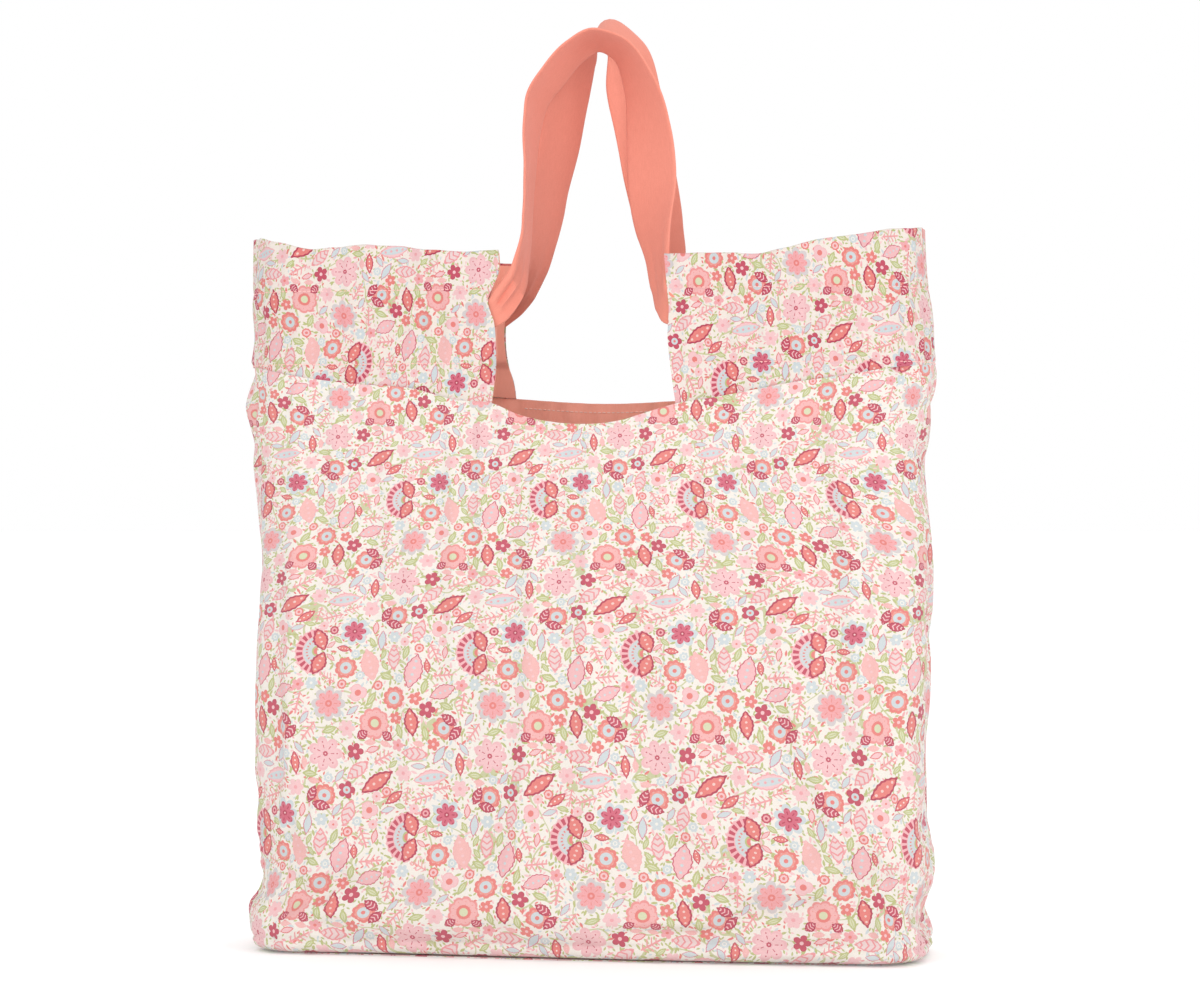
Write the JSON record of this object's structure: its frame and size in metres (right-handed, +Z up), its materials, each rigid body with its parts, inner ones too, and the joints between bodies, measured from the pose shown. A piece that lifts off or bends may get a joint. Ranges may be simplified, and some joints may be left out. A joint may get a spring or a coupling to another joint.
{
  "type": "foldable tote bag",
  "caption": "Soft cotton tote with a boxed base, two upright ears beside an open notch, and a flat webbing loop run through the ears to make a pair of handles.",
  "frame": {"origin": "middle of the base's underside", "axes": "+Z up to the handles, +X along the bag's width to the right seen from the front, the front faces -Y"},
  "size_m": [0.447, 0.1356, 0.615],
  "materials": {
    "floral_cotton": "plain-weave cotton, cream ground with a small allover floral print in coral, raspberry, pink, pale grey-blue and olive",
    "coral_cotton": "plain-weave coral cotton",
    "coral_webbing": "folded and pressed coral cotton strap"
  },
  "bodies": {
    "bag": {"front_panel": "floral_cotton", "back_panel": "floral_cotton", "base_panel": "floral_cotton", "left_ear": "floral_cotton", "right_ear": "floral_cotton", "left_ear_lining": "coral_cotton", "right_ear_lining": "coral_cotton", "front_facing": "coral_cotton", "back_facing": "coral_cotton", "left_casing_strap": "coral_webbing", "right_casing_strap": "coral_webbing"},
    "front_handle_loop": {"front_handle": "coral_webbing"},
    "back_handle_loop": {"back_handle": "coral_webbing"}
  },
  "joints": [
    {"name": "front_handle_swing", "type": "hinge", "parent": "bag", "child": "front_handle_loop", "pos_m": [0, -0.0523, 0.419], "axis": [1, 0, 0], "range_deg": [0, 165]},
    {"name": "back_handle_swing", "type": "hinge", "parent": "bag", "child": "back_handle_loop", "pos_m": [0, 0.0523, 0.419], "axis": [-1, 0, 0], "range_deg": [0, 165]}
  ]
}
